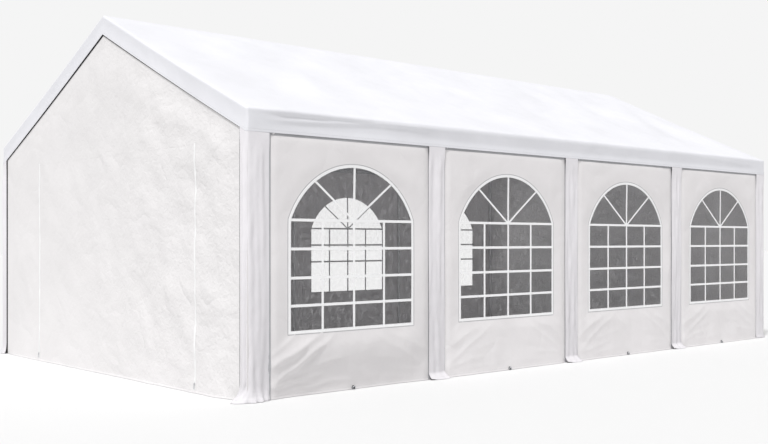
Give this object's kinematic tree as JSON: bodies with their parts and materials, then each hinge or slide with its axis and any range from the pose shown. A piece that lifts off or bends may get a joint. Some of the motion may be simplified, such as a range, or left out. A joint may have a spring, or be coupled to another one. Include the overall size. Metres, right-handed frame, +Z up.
{
  "type": "marquee tent",
  "caption": "Closed gable-roof party marquee with hanging valances, arched clear-film side windows, zipped end doors and a steel tube frame.",
  "frame": {"origin": "centre of the tent's footprint, on the floor", "axes": "+X across the gable, +Y along the ridge towards the back gable, +Z up"},
  "size_m": [5, 8, 3.44],
  "materials": {
    "roof_fabric": "coated white sheet, softly creased",
    "sleeve_fabric": "coated white sheet with vertical folds",
    "panel_fabric": "coated white sheet, lightly creased",
    "gable_fabric": "coated white sheet with a fine crinkle",
    "clear_film": "clear flexible film with soft ripples",
    "frame_steel": "galvanised tube"
  },
  "bodies": {
    "root": {"roof_cover": "roof_fabric", "leg_sleeve_right_1": "sleeve_fabric", "leg_sleeve_right_2": "sleeve_fabric", "leg_sleeve_right_3": "sleeve_fabric", "leg_sleeve_right_4": "sleeve_fabric", "leg_sleeve_right_5": "sleeve_fabric", "side_panel_right_1": "panel_fabric", "side_panel_right_2": "panel_fabric", "side_panel_right_3": "panel_fabric", "side_panel_right_4": "panel_fabric", "window_film_right_1": "clear_film", "window_film_right_2": "clear_film", "window_film_right_3": "clear_film", "window_film_right_4": "clear_film", "leg_right_1": "frame_steel", "leg_right_2": "frame_steel", "leg_right_3": "frame_steel", "leg_right_4": "frame_steel", "leg_right_5": "frame_steel", "rafter_right_1": "frame_steel", "rafter_right_2": "frame_steel", "rafter_right_3": "frame_steel", "rafter_right_4": "frame_steel", "rafter_right_5": "frame_steel", "eave_rail_right": "frame_steel", "leg_sleeve_left_1": "sleeve_fabric", "leg_sleeve_left_2": "sleeve_fabric", "leg_sleeve_left_3": "sleeve_fabric", "leg_sleeve_left_4": "sleeve_fabric", "leg_sleeve_left_5": "sleeve_fabric", "side_panel_left_1": "panel_fabric", "side_panel_left_2": "panel_fabric", "side_panel_left_3": "panel_fabric", "side_panel_left_4": "panel_fabric", "window_film_left_1": "clear_film", "window_film_left_2": "clear_film", "window_film_left_3": "clear_film", "window_film_left_4": "clear_film", "leg_left_1": "frame_steel", "leg_left_2": "frame_steel", "leg_left_3": "frame_steel", "leg_left_4": "frame_steel", "leg_left_5": "frame_steel", "rafter_left_1": "frame_steel", "rafter_left_2": "frame_steel", "rafter_left_3": "frame_steel", "rafter_left_4": "frame_steel", "rafter_left_5": "frame_steel", "eave_rail_left": "frame_steel", "ridge_rail": "frame_steel", "gable_wall_front": "gable_fabric", "door_flap_front": "gable_fabric", "gable_wall_back": "gable_fabric", "door_flap_back": "gable_fabric"}
  },
  "joints": []
}
